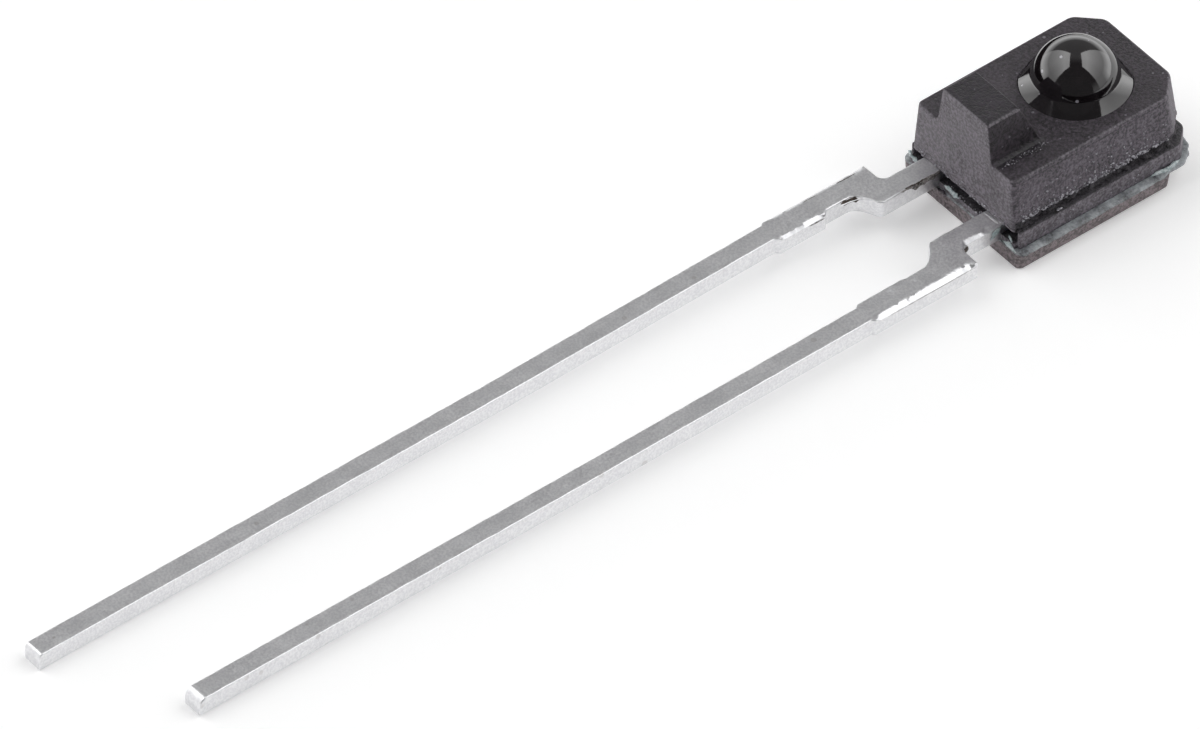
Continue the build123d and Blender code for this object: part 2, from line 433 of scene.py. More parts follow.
mattResin = makeMattResin()
polishedResin = makePlain("resinPolished", polishedLook, IOR=resin["polishedIor"])
shadedBrokenResin = makePlain("resinBrokenShaded", brokenShadedLook, IOR=resin["ior"])
flashResin = makePlain("resinFlash", flashLook, IOR=resin["ior"])
thinFlash = makePlain("resinThinFlash", thinLook, IOR=resin["ior"])
dustGrain = makePlain("resinDust", dustLook, Roughness=0.7)
tinPlate = makeTin()
leadGrime = makePlain("leadGrime", grimeLook, Roughness=0.6)
leadScarAndShade = makePlain("leadScarAndShade", scarAndShadeLook, Roughness=0.6)
print("materials made")

# The moulding's outer skin: one stack of rings from the back face to the front face
moulding = {
    "backHeight": 0.37, "backHalfWidth": 1.53, "backNear": 2.48, "backFar": 1.50,
    "backCorner": 0.75, "backNearRadius": 0.12, "backFarRadius": 0.08, "backDraft": 5.0,
    "backEdge": 0.04, "backLevels": (0.09, 0.14, 0.19, 0.24, 0.29, 0.33),
    "bandHalfWidth": 1.44, "bandNear": 2.38, "bandFar": 1.45, "bandCorner": 0.33,
    "bandRadius": 0.03, "bandFarRadius": 0.18, "bandTop": 0.72,
    "bandLevels": (0.388, 0.43, 0.47, 0.497, 0.503, 0.55, 0.60, 0.65, 0.69),
    "slotHalfWidth": 1.37, "slotFloor": 0.50, "slotBack": 2.20, "webNear": 2.46,
    "gateCentre": -0.63, "gateHalfWidth": 0.31, "gateProud": 0.04,
    "faceLevel": 1.80, "faceHalfWidth": 1.275, "faceNear": 2.41, "faceFar": 1.365,
    "faceCorner": 0.42, "faceNearRadius": 0.11, "faceFarRadius": 0.24, "faceEdge": 0.045,
    "sideDraft": 5.3, "endDraft": 1.6, "seam": 1.61,
    "grooveFoot": 0.726, "grooveTop": 0.93, "grooveSteps": 22, "undercut": 0.07,
    "wallLevels": (0.94, 0.955, 0.975, 1.0, 1.04, 1.10, 1.18, 1.27, 1.36, 1.45, 1.54),
    "crownLevels": (1.65, 1.69, 1.72, 1.738),
}
leadEndNormal = -0.7  # a wall whose normal has less Y than this belongs to the lead end
slotWallNormal = -0.9


def layerLoop(halfWidth, near, far, corner, nearRadius, farRadius):
    right = [Vector((halfWidth, -near)), Vector((halfWidth, far - corner)),
             Vector((halfWidth - corner, far))]
    corners = right + [Vector((-p.x, p.y)) for p in reversed(right)]
    radii = [nearRadius] + [farRadius] * 4 + [nearRadius]
    return roundedLoop(corners, radii, 8, [140, 24, 70, 24, 140, 110])


def backLoop(height):
    m = moulding
    out = height * tan(radians(m["backDraft"]))
    return layerLoop(m["backHalfWidth"] + out, m["backNear"], m["backFar"] + out, m["backCorner"],
                     m["backNearRadius"], m["backFarRadius"])


def bandLoop():
    m = moulding
    return layerLoop(m["bandHalfWidth"], m["bandNear"], m["bandFar"], m["bandCorner"],
                     m["bandRadius"], m["bandFarRadius"])


def endWall(height):
    draft = tan(radians(moulding["endDraft"]))
    return moulding["faceNear"] + (moulding["faceLevel"] - height) * draft


def frontLoop(height):
    m = moulding
    out = (m["faceLevel"] - height) * tan(radians(m["sideDraft"]))
    return layerLoop(m["faceHalfWidth"] + out, endWall(height), m["faceFar"] + out,
                     m["faceCorner"], m["faceNearRadius"], m["faceFarRadius"])


def ring(loop, height, inset=0.0, change=None):
    points = []
    for point, normal in zip(loop, loopNormals(loop)):
        moved = point - normal * inset
        spot = Vector((moved.x, moved.y, height))
        points.append(change(spot, normal) if change else spot)
    return points


def between(first, second, share, lift=None):
    points = [a.lerp(b, share) for a, b in zip(first, second)]
    return [p + upward * lift(p) for p in points] if lift else points


# Changes to a ring: gate scar, open slot, torn groove, scuffed wall and uneven ledge
def gate(spot, normal):
    m = moulding
    spot.xy -= normal * 0.004 * wobbleAt(spot, 6, 6, 1)
    reach = m["gateHalfWidth"] + 0.05 * wobble(spot.z * 9, 0, 0, 2) - abs(spot.x - m["gateCentre"])
    if normal.y < slotWallNormal and reach > 0:
        broken = 0.75 + 0.6 * wobble(spot.x * 14, 0, spot.z * 20, 3)
        spot.y -= m["gateProud"] * broken * min(1, reach / 0.04)
    return spot


def slot(spot, normal):
    m = moulding
    if normal.y < slotWallNormal and abs(spot.x) < m["slotHalfWidth"]:
        rough = 0.012 * wobble(spot.x * 7, 0, spot.z * 20, 4)
        spot.y = -(m["webNear"] if spot.z < m["slotFloor"] else m["slotBack"]) + rough
    return spot


def torn(spot, normal):
    m = moulding
    share = (m["grooveTop"] - spot.z) / (m["grooveTop"] - m["bandTop"])
    lip = 0.06 + 0.10 * wobbleAt(spot, 5, 0, 15) + 0.06 * wobbleAt(spot, 17, 0, 16)
    depth = m["undercut"] * smoothStep(lip, lip + 0.10, share)
    depth += 0.040 * wobbleAt(spot, 3.5, 46, 5) * min(1, 8 * max(share, 0))
    depth += 0.020 * wobbleAt(spot, 12, 90, 6)
    depth -= max(0, wobbleAt(spot, 5, 26, 7) - 0.16) * 0.20
    if normal.y < leadEndNormal:
        depth *= 0.12
    spot.xy -= normal * max(depth, -0.010)
    spot.z += 0.006 * wobbleAt(spot, 8, 30, 8)
    return spot


def scuffed(spot, normal):
    nearFoot = max(0, 1 - (spot.z - moulding["grooveTop"]) / 0.16)
    calm = 0.25 if normal.y < leadEndNormal else 1
    spot.xy += normal * calm * (0.0015 + 0.010 * nearFoot) * wobbleAt(spot, 16, 16, 9)
    return spot


def ledge(spot):
    return 0.012 * wobbleAt(spot, 5, 0, 10) + 0.006 * wobbleAt(spot, 17, 0, 11)


def skinRings():
    m = moulding
    rings = [ring(backLoop(0), 0, 0.14)]
    for k in range(5):
        turn = pi / 2 * k / 4
        rings.append(ring(backLoop(0), m["backEdge"] * (1 - cos(turn)),
                          m["backEdge"] * (1 - sin(turn))))
    rings += [ring(backLoop(height), height, 0, gate) for height in m["backLevels"]]
    rings.append(ring(backLoop(0.352), 0.352, 0.004, gate))
    edge = ring(backLoop(0.37), 0.366, 0.018, gate)
    foot = ring(bandLoop(), 0.37, -0.012, slot)
    rings.append(edge)
    rings += [between(edge, foot, share, ledge) for share in (0.3, 0.6, 0.9)]
    rings.append(ring(bandLoop(), 0.362, 0, slot))
    rings += [ring(bandLoop(), height, 0, slot) for height in m["bandLevels"]]
    rings.append(ring(bandLoop(), 0.712, 0.006, slot))
    shelf = ring(bandLoop(), 0.72, 0.02, slot)
    start = m["grooveFoot"]
    under = ring(frontLoop(start), 0.724, 0, torn)
    rings += [shelf, between(shelf, under, 0.5), under]
    for k in range(1, m["grooveSteps"] + 1):
        height = start + (m["grooveTop"] - start) * k / m["grooveSteps"]
        rings.append(ring(frontLoop(height), height, 0, torn))
    rings += [ring(frontLoop(height), height, 0, scuffed) for height in m["wallLevels"]]
    rings.append(ring(frontLoop(m["seam"]), m["seam"]))
    return rings


def crownRings():
    m = moulding
    rings = [ring(frontLoop(height), height) for height in (m["seam"], *m["crownLevels"])]
    for k in range(7):
        turn = pi / 2 * k / 6
        height = m["faceLevel"] - m["faceEdge"] * (1 - sin(turn))
        rings.append(ring(frontLoop(height), height, m["faceEdge"] * (1 - cos(turn))))
    rings.append(ring(frontLoop(m["faceLevel"]), m["faceLevel"], 0.06))
    return rings


# Guard rib: its sides slope in, its edges are rounded, and its foot flares into the face
rib = {
    "height": 0.81, "footHalfWidth": 0.72, "topHalfWidth": 0.605, "footFar": 1.34, "topFar": 1.695,
    "edges": {"left": 0.05, "right": 0.085, "near": 0.03, "far": 0.02},
    "corners": {"left": 0.02, "right": 0.05}, "farCorner": 0.035, "proud": 0.0015,
    "flare": ((-0.12, 0.12), (-0.03, 0.10), (0.0, 0.062), (0.02, 0.036), (0.045, 0.016),
              (0.08, 0.005), (0.13, 0.0)),
    "rises": (0.22, 0.34, 0.46, 0.58, 0.68),
}


def ribEdge(normal):
    e = rib["edges"]
    return (normal.x**2 * (e["right"] if normal.x > 0 else e["left"])
            + normal.y**2 * (e["far"] if normal.y > 0 else e["near"]))


def ribSection(rise, flare=0.0, turn=None):
    r = rib
    share = rise / r["height"]
    halfWidth = r["footHalfWidth"] + (r["topHalfWidth"] - r["footHalfWidth"]) * share + flare
    far = r["footFar"] + (r["topFar"] - r["footFar"]) * share - flare
    near = endWall(moulding["faceLevel"] + rise) + r["proud"]
    corners = [Vector((-halfWidth, -near)), Vector((halfWidth, -near)),
               Vector((halfWidth, -far)), Vector((-halfWidth, -far))]
    radii = [r["corners"]["left"], r["corners"]["right"], r["farCorner"], r["farCorner"]]
    loop = roundedLoop(corners, radii, 6, [44, 36, 44, 36])
    points = []
    for p, normal in zip(loop, loopNormals(loop)):
        edge = ribEdge(normal.normalized())
        inset, drop = 0.0, 0.0
        if turn is not None:
            inset, drop = edge * (1 - cos(turn)), edge * (1 - sin(turn))
            if turn > pi / 2 - 0.001:
                inset += 0.0001  # keeps the last two rings apart where the edge is sharp
        moved = p - normal * inset
        points.append(Vector((moved.x, moved.y, moulding["faceLevel"] + rise - drop)))
    return points


def ribRings():
    rings = [ribSection(rise, flare) for rise, flare in rib["flare"]]
    rings += [ribSection(rise) for rise in rib["rises"]]
    rings += [ribSection(rib["height"], 0, pi / 2 * k / 7) for k in range(8)]
    top = rings[-1]
    middle = sum(top, Vector()) / len(top)
    rings.append([p.lerp(middle, 0.12) for p in top])
    return rings


# Lens: a hollow cone seat in a shallow recess, with a dome on it; the seat narrows farWay
lens = {"footRadius": 0.985, "farFoot": 0.905, "nearFoot": 0.968, "footDepth": 0.02,
        "contactRise": 0.19, "hollow": 0.10, "domeRadius": 0.785, "domeHeight": 0.826,
        "farWay": (-0.777, 0.630), "lip": 0.008, "sides": 224, "seatSteps": 12, "bands": 44}


def footRadius(turn):
    far = cos(turn) * lens["farWay"][0] + sin(turn) * lens["farWay"][1]
    full = lens["footRadius"]
    radius = full + (lens["farFoot"] - full) * smoothStep(0.02, 0.42, far)
    return radius + (lens["nearFoot"] - full) * smoothStep(0.2, 0.9, -far)


def lensCircle(radiusAt, rise, offset=0.0):
    points = []
    for k in range(lens["sides"]):
        turn = 2 * pi * (k + offset) / lens["sides"]
        radius = radiusAt(turn)
        points.append(Vector((radius * cos(turn), radius * sin(turn),
                              moulding["faceLevel"] + rise)))
    return points


def recessRings():
    lip = lens["lip"]
    profile = [(0, -lens["footDepth"] - 0.02), (0, -lip)]
    profile += [(lip * (1 - cos(a)), -lip * (1 - sin(a))) for a in (0.4, 0.8, 1.2, 1.5)]
    profile += [(lip + 0.001, 0.001), (lip + 0.001, 0.2)]
    return [lensCircle(lambda turn: footRadius(turn) + out, rise, 0.5) for out, rise in profile]


def lensRings():
    wide, tall, depth = lens["domeRadius"], lens["domeHeight"], lens["footDepth"]
    contact, bands = lens["contactRise"], lens["bands"]
    low = asin(contact / tall)
    inner = wide * cos(low)
    rings = [lensCircle(lambda turn: footRadius(turn) + 0.03, rise)
             for rise in (-0.10, -depth - 0.03)]
    for k in range(lens["seatSteps"] + 1):
        share = k / lens["seatSteps"]
        bend = share + lens["hollow"] * (share**2 - share)
        rings.append(lensCircle(
            lambda turn: footRadius(turn) + (inner + 0.004 - footRadius(turn)) * share,
            -depth + (contact - 0.003 + depth) * bend))
    for k in range(bands):
        lift = low + (pi / 2 - low) * (k + 0.2) / bands
        rings.append(lensCircle(lambda turn: wide * cos(lift), tall * sin(lift)))
    return rings


def skinMaterial(mesh, face):  # 0 matt, 1 polished lens, 2 broken groove or slot
    m = moulding
    spot = face.center / mm
    reach = footRadius(atan2(spot.y, spot.x)) - 0.002
    corners = [hypot(*(mesh.vertices[v].co.xy / mm)) for v in face.vertices]
    if max(corners) < reach + 0.004 and hypot(spot.x, spot.y) < reach \
            and spot.z > m["faceLevel"] - 0.06:
        return 1
    # painted shade: the groove and the open slot take the near-black broken resin
    inGroove = m["bandTop"] - 0.002 < spot.z < m["grooveTop"] + 0.004
    inSlot = m["slotFloor"] - 0.01 < spot.z < m["bandTop"] and spot.y < 0.1 - m["slotBack"] \
        and abs(spot.x) < m["slotHalfWidth"]
    return 2 if inSlot or inGroove and face.normal.y > leadEndNormal else 0


def makeBody():
    crown = addObject("crown", ringMesh("crown", crownRings()))
    combine(crown, addObject("ribPart", ringMesh("rib", ribRings())))
    combine(crown, addObject("recessPart", ringMesh("recess", recessRings())), "DIFFERENCE")
    combine(crown, addObject("lensPart", ringMesh("lens", lensRings())))
    bm = bmesh.new()
    bm.from_mesh(crown.data)
    seam = moulding["seam"] * mm
    floor = [face for face in bm.faces if face.calc_center_median().z < seam + 1e-7]
    bmesh.ops.delete(bm, geom=floor, context="FACES_ONLY")
    bm.to_mesh(crown.data)
    bm.free()
    lower = ringMesh("skin", skinRings(), lastCap=False)
    body = addObject("body_moulding", joinMeshes("body_moulding", [lower, crown.data]),
                     [mattResin, polishedResin, shadedBrokenResin])
    for face in body.data.polygons:
        face.material_index = skinMaterial(body.data, face)
    return body


body = makeBody()
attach(body, "root")
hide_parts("body")
print("body moulding:", len(body.data.polygons), "faces")

# Thin flash squeezed out over the ledge below the band, all round the parting plane
flash = {
    "level": 0.372, "thickness": 0.022, "overhang": 0.05, "cover": 0.045, "least": 0.012,
    "most": {"far": 0.06, "side": 0.13, "nearRight": 0.17}, "leadEnd": 0.11, "under": 0.02,
    "section": ((0.0, 0.5), (0.25, 0.9), (0.5, 1.0), (0.75, 1.15), (0.92, 1.0), (0.99, 0.45),
                (0.99, -0.2), (0.93, -0.6), (0.7, -0.7), (0.3, -0.6), (0.0, -0.5)),
}


def flashReach(spot, edge, normal):
    f = flash
    ledgeWidth = max((edge - spot).dot(normal), 0)
    run = 0.6 * wobble(spot.x * 2.2, spot.y * 2.2, 0, 12) \
        + 0.5 * wobble(spot.x * 8, spot.y * 8, 0, 13)
    if normal.y < leadEndNormal:
        return f["leadEnd"] + 0.02 * run
    far = smoothStep(-1.4, 0.5, spot.y) if spot.x > 1 else 0
    reach = ledgeWidth + f["overhang"] + (f["cover"] + 0.05 * far) * run + 0.03 * far
    limit = "far" if normal.y > 0.8 else "side"
    if normal.y <= 0.3 and spot.x >= 1 and spot.y <= 0.7:
        limit = "nearRight"
    return min(max(reach, f["least"]), f["most"][limit])


def flashRings():
    f = flash
    band = bandLoop()
    normals = loopNormals(band)
    reaches = [flashReach(*spot) for spot in zip(band, backLoop(moulding["backHeight"]), normals)]
    for _ in range(3):
        reaches = [(reaches[i - 1] + reaches[i] + reaches[(i + 1) % len(reaches)]) / 3
                   for i in range(len(reaches))]
    rings = []
    for share, rise in f["section"]:
        points = []
        for spot, normal, reach in zip(band, normals, reaches):
            out = spot - normal * f["under"] + normal * (reach + f["under"]) * share
            relief = 0.010 * wobble(out.x * 9, out.y * 9, share * 2, 14)
            droop = -max(0.02, 0.75 * (reach - 0.135)) * share**3
            points.append(Vector((out.x, out.y,
                                  f["level"] + f["thickness"] * 0.5 * rise + relief + droop)))
        rings.append(points)
    return rings


flashSkirt = addObject("flash_skirt", ringMesh("flash", flashRings(), wrap=True), [flashResin])
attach(flashSkirt, "root")
print("flash skirt made")

# Leads, one section after another from the tip to the end inside the resin. The sides are
# chains of (distance from the lens axis, x); a dent is x, y, radius and depth
leadShape = {
    "bottom": 0.37, "thickness": 0.35, "edge": 0.022, "bevelRamp": 0.06,
    "emitter": {
        "tip": 21.35, "end": 0.88, "tipRadius": 0.07,
        "left": [(21.35, -1.395), (11.5, -1.395), (5.60, -1.47), (5.55, -1.52), (3.362, -1.52),
                 (3.352, -1.17), (3.31, -1.10), (3.26, -1.06), (3.20, -1.0425), (0.88, -1.0425)],
        "right": [(21.35, -0.995), (11.5, -0.995), (5.625, -1.07), (5.55, -0.995), (4.60, -0.995),
                  (4.52, -1.07), (4.11, -1.07), (4.02, -1.06), (3.94, -1.02), (3.86, -0.94),
                  (3.78, -0.78), (3.73, -0.67), (3.69, -0.63), (3.65, -0.6125), (1.384, -0.6125),
                  (1.378, -0.5225), (0.88, -0.5225)],
        "wideBevel": {"side": "right", "from": 5.56, "to": 4.58, "width": 0.055, "drop": 0.045},
        "sideBevel": {"side": "left", "from": 5.4, "to": 3.37, "width": 0.045, "drop": 0.030},
        "dents": ((-1.30, -3.75, 0.16, 0.006), (-1.15, -5.30, 0.14, 0.008),
                  (-1.2, -9.4, 0.2, 0.004)),
        "seed": 3,
    },
    "collector": {
        "tip": 19.95, "end": -0.60, "tipRadius": 0.15,
        "left": [(19.95, 1.11), (11.5, 1.11), (5.625, 1.07), (5.55, 1.01), (4.60, 1.01),
                 (4.52, 1.035), (4.11, 1.02), (4.02, 0.985), (3.94, 0.93), (3.86, 0.85),
                 (3.78, 0.75), (3.73, 0.67), (3.69, 0.63), (3.65, 0.6125), (0.604, 0.6125),
                 (0.598, -0.55), (-0.60, -0.55)],
        "right": [(19.95, 1.51), (11.5, 1.51), (5.60, 1.47), (5.55, 1.52), (3.362, 1.52),
                  (3.352, 1.17), (3.31, 1.10), (3.26, 1.06), (3.20, 1.0425), (-0.60, 1.0425)],
        "wideBevel": {"side": "right", "from": 5.50, "to": 3.42, "width": 0.085, "drop": 0.055},
        "sideBevel": {"side": "right", "from": 3.3, "to": 2.4, "width": 0.09, "drop": 0.03},
        "dents": ((1.13, -4.95, 0.10, 0.022), (1.16, -4.50, 0.10, 0.012), (1.3, -4.1, 0.25, 0.006),
                  (1.35, -8.2, 0.2, 0.004)),
        "seed": 8,
    },
}


def chainAt(chain, distance):
    for (y0, x0), (y1, x1) in zip(chain, chain[1:]):
        if y1 <= distance <= y0:
            return x0 + (x1 - x0) * (y0 - distance) / (y0 - y1)
    return chain[-1][1]


def stationList(spec):
    stations = []
    distance = spec["tip"]
    while distance > spec["end"]:
        stations.append(distance)
        plain = 0.09 if distance > 5.8 else 0.03 if distance > 2.3 else 0.08
        distance -= 0.02 if spec["tip"] - distance < 0.2 else plain
    stations += [d for d, x in spec["left"] + spec["right"]] + [spec["end"]]
    return sorted(set(round(d, 4) for d in stations), reverse=True)


def topEdge(spec, side, distance):  # width, drop and flatness of the edge at the top
    seed = spec["seed"]
    width = drop = leadShape["edge"] * (1 + 0.5 * wobble(distance * 4, 0, 0, seed + 2))
    flat = 0
    for bevel in (spec["wideBevel"], spec["sideBevel"]):
        if bevel["side"] != side:
            continue
        ramp = leadShape["bevelRamp"]
        share = max(0, min(1, (bevel["from"] - distance) / ramp, (distance - bevel["to"]) / ramp))
        ragged = 1 + 0.5 * wobble(distance * 6, 0, 0, seed + 4) \
            + 0.35 * wobble(distance * 17, 0, 0, seed + 9)
        width += (bevel["width"] * ragged - width) * share
        drop += (bevel["drop"] - drop) * share
        flat = max(flat, share)
    return width, drop, flat


def leadSection(spec, distance):
    seed, radius, bottom = spec["seed"], spec["tipRadius"], leadShape["bottom"]
    left = chainAt(spec["left"], distance) + 0.004 * wobble(distance * 3, 0, 0, seed)
    right = chainAt(spec["right"], distance) + 0.004 * wobble(distance * 3, 0, 0, seed + 1)
    sink = max(0, radius - (spec["tip"] - distance))
    top = bottom + leadShape["thickness"] - radius + sqrt(max(radius**2 - sink**2, 0))
    low = leadShape["edge"] * 0.6

    def side(name, x, outward, noiseSeed):  # points up one side, and where the top begins
        width, drop, flat = topEdge(spec, name, distance)
        points = []
        for k in range(4):
            z = bottom + low + (top - drop - bottom - low) * k / 4
            rough = 0.003 * wobble(distance * 5, z * 6, 0, noiseSeed) if k else 0
            points.append((x + outward * rough, z))
        for turn in (0, 0.25, 0.5, 0.75, 1):
            inward = width * ((1 - flat) * (1 - cos(turn * pi / 2)) + flat * turn)
            z = top - drop + drop * ((1 - flat) * sin(turn * pi / 2) + flat * turn)
            points.append((x - outward * inward, z))
        return points, x - outward * width

    rightSide, start = side("right", right, 1, seed + 5)
    leftSide, end = side("left", left, -1, seed + 7)
    points = [(left + low + (right - left - 2 * low) * k / 4, bottom) for k in range(5)]
    points += rightSide
    for k in range(1, 8):
        x = start + (end - start) * k / 8
        z = top + 0.0015 * wobble(x * 9, distance * 2.5, 0, seed + 6)
        for dentX, dentY, size, depth in spec["dents"]:
            z -= depth * max(0, 1 - hypot(x - dentX, -distance - dentY) / size) ** 1.5
        points.append((x, z))
    return [Vector((x, -distance, z)) for x, z in points + leftSide[::-1]]


def makeLead(name, node, spec):
    rings = [leadSection(spec, distance) for distance in stationList(spec)]
    lead = addObject(name, ringMesh(name, rings), [tinPlate], 40)
    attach(lead, "root")
    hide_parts(node)
    return len(lead.data.polygons)


emitterFaces = makeLead("emitter_lead_stamped", "emitter_lead", leadShape["emitter"])
collectorFaces = makeLead("collector_lead_stamped", "collector_lead", leadShape["collector"])
print("leads made:", emitterFaces, collectorFaces)


# Ragged strips: path, up, width, height, seed of the noise, and how ragged they are.
# The section's corners: share of the width, share of the ragged height, share of the height
ribbonSection = ((-0.5, 0, -0.4), (-0.5, 0, 0), (-0.3, 0.8, 0), (0, 1, 0), (0.3, 0.8, 0),
                 (0.5, 0, 0), (0.5, 0, -0.4))


def ribbonMesh(path, up, width, height, seed, ragged=0.4):
    up = Vector(up).normalized()
    points = [Vector(p) for p in path]
    lengths = [(b - a).length for a, b in zip(points, points[1:])]
    whole = sum(lengths)
    steps = max(6, int(whole / 0.018))
    rings = []
    for step in range(steps + 1):
        rest = whole * step / steps
        index = 0
        while index < len(lengths) - 1 and rest > lengths[index]:
            rest -= lengths[index]
            index += 1
        centre = points[index].lerp(points[index + 1], min(1, rest / lengths[index]))
        side = (points[index + 1] - points[index]).normalized().cross(up)
        share = step / steps
        taper = min(1, 5 * min(share, 1 - share) + 0.12)
        run = whole * share
        size = width * taper * (1 + ragged * 2 * wobble(run * 14, 0, 0, seed))
        tall = height * taper * (1 + ragged * wobble(run * 20, 0, 0, seed + 1))
        centre = centre + side * width * ragged * wobble(run * 7, 0, 0, seed + 2)
        rings.append([centre + side * size * across + up * tall * rise + up * height * foot
                      for across, rise, foot in ribbonSection])
    return ringMesh("ribbon", rings)


def makeRibbons(name, material, slotName, specs):
    meshes = [ribbonMesh(*spec) for spec in specs]
    piece = addObject(name, joinMeshes(name, meshes), [material])
    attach(piece, "root")


strips = {
    "lead_grime": (leadGrime, "lead_tin", [
        ([(-0.63, -3.30, 0.715), (-0.615, -2.95, 0.715), (-0.62, -2.44, 0.715)], upward, 0.055,
         0.005, 22, 0.8),
        ([(-0.60, -3.05, 0.67), (-0.60, -2.44, 0.66)], sideways, 0.09, 0.012, 23, 0.7),
        ([(1.525, -3.40, 0.655), (1.525, -4.60, 0.655), (1.525, -5.30, 0.655)], sideways, 0.008,
         0.003, 25),
        ([(-0.99, -4.62, 0.648), (-0.99, -4.95, 0.648)], sideways, 0.022, 0.004, 26, 0.6),
    ]),
    # scars and dirt lines on the leads, and one strip of painted shade
    "lead_scars_and_shade": (leadScarAndShade, "lead_tin", [
        ([(-1.45, -3.52, 0.716), (-1.46, -4.05, 0.716)], upward, 0.022, 0.006, 20),
        ([(-1.455, -4.40, 0.716), (-1.46, -4.75, 0.716)], upward, 0.018, 0.005, 21),
        # painted shade: a black pit under the burr's rim at the emitter's jog, standing for a
        # shadowed crack
        ([(-1.03, -4.24, 0.712), (-0.985, -4.06, 0.716), (-0.93, -3.92, 0.712)],
         (0.7, -0.6, 0.5), 0.085, 0.012, 24, 0.3),
        ([(-0.64, -3.22, 0.716), (-0.62, -2.98, 0.716), (-0.625, -2.72, 0.716)], upward, 0.03,
         0.008, 29, 0.9),
        ([(1.03, -3.33, 0.70), (1.12, -3.35, 0.70)], upward, 0.08, 0.02, 27, 0.5),
        ([(1.065, -3.34, 0.64), (1.06, -3.18, 0.60)], sideways, 0.10, 0.01, 28, 0.5),
    ]),
    "lead_burrs": (tinPlate, "lead_tin", [
        ([(-1.02, -4.35, 0.712), (-0.985, -4.12, 0.716), (-0.93, -3.92, 0.718),
          (-0.84, -3.80, 0.712)], (0.3, -0.3, 0.9), 0.022, 0.006, 30),
        ([(0.62, -2.475, 0.719), (1.00, -2.48, 0.719)], upward, 0.07, 0.004, 31),
    ]),
    "flash_curls": (thinFlash, "body_resin", [
        ([(-0.47, -2.455, 0.505), (-0.30, -2.47, 0.512), (-0.06, -2.48, 0.505)],
         (0.2, -0.7, 0.7), 0.07, 0.02, 40),
        ([(-1.50, -2.40, 0.52), (-1.34, -2.46, 0.56), (-1.16, -2.45, 0.52)],
         (-0.2, -0.5, 0.8), 0.06, 0.02, 41, 0.6),
        ([(1.46, 0.45, 0.385), (1.50, 0.80, 0.392), (1.46, 1.08, 0.388)],
         (0.5, 0, 0.8), 0.075, 0.02, 42, 0.25),
        ([(1.052, -2.46, 0.66), (1.054, -2.60, 0.60), (1.052, -2.68, 0.48)], sideways, 0.10,
         0.010, 43, 0.6),
        ([(1.12, -2.49, 0.41), (1.28, -2.50, 0.45), (1.46, -2.47, 0.39)],
         (0.2, -0.8, 0.6), 0.06, 0.02, 44, 0.5),
        ([(1.20, -2.42, 0.56), (1.32, -2.45, 0.50)], (0.1, -0.9, 0.4), 0.04, 0.015, 45, 0.5),
    ]),
}
for name, strip in strips.items():
    makeRibbons(name, *strip)
print("bleed, burrs and curls made")

# Crumbs of resin and dust, thickest just above the groove; count and sizes for each region
crumbs = {"seed": 1107, "smallest": 0.008, "largest": 0.026, "right": 420, "left": 190,
          "face": (60, 0.005, 0.014), "endWall": (45, 0.008, 0.022), "slot": (40, 0.008, 0.02),
          "band": (30, 0.005, 0.013),
          "placed": [((1.41, -1.52, 0.78), 0.036), ((1.40, -1.46, 0.76), 0.022),
                     ((1.44, -1.9, 0.56), 0.018)]}


def crumbMesh(centre, size, dice):
    bm = bmesh.new()
    bmesh.ops.create_icosphere(bm, subdivisions=1, radius=1)
    stretch = Vector((dice.uniform(0.7, 1.5), dice.uniform(0.7, 1.5), dice.uniform(0.6, 1.0)))
    for vert in bm.verts:
        vert.co = (Vector(centre) + vert.co * stretch * size * dice.uniform(0.75, 1.2)) * mm
    mesh = bpy.data.meshes.new("crumb")
    bm.to_mesh(mesh)
    bm.free()
    return mesh


def sideWall(side, y, z):
    out = (moulding["faceLevel"] - z) * tan(radians(moulding["sideDraft"]))
    return side * (moulding["faceHalfWidth"] + out), y, z


def crumbPlaces(dice):
    c, places = crumbs, []
    for side, count in ((1, c["right"]), (-1, c["left"])):
        for _ in range(count):
            low = dice.random() < 0.8
            rise = min(dice.expovariate(1 / 0.05), 0.75) if low else dice.uniform(0, 0.6)
            big = dice.random() < 0.14 and rise < 0.12
            size = dice.uniform(0.9, 1.6) * c["largest"] if big else dice.uniform(
                c["smallest"], c["largest"])
            places.append((sideWall(side, dice.uniform(-2.28, 0.9), 0.895 + rise), size * 0.8))
    draws = {
        "face": lambda: (dice.gauss(0.86, 0.03), dice.uniform(-2.32, -1.3), moulding["faceLevel"]),
        "endWall": lambda: (dice.uniform(-1.2, 1.2), -endWall(0.75),
                            0.735 + dice.expovariate(1 / 0.04)),
        "slot": lambda: (dice.uniform(-0.5, 0.55), -dice.uniform(2.38, 2.47), 0.50),
        "band": lambda: (1.445, dice.uniform(-2.3, 1.0), dice.uniform(0.40, 0.70)),
    }
    for region, draw in draws.items():
        count, smallest, largest = c[region]
        places += [(draw(), dice.uniform(smallest, largest)) for _ in range(count)]
    return places + c["placed"]


def makeCrumbs():
    dice = random.Random(crumbs["seed"])
    meshes = [crumbMesh(spot, size, dice) for spot, size in crumbPlaces(dice)]
    piece = addObject("resin_crumbs", joinMeshes("resin_crumbs", meshes), [dustGrain], 60)
    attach(piece, "root")
    return len(piece.data.polygons)


print("crumbs:", makeCrumbs(), "faces")

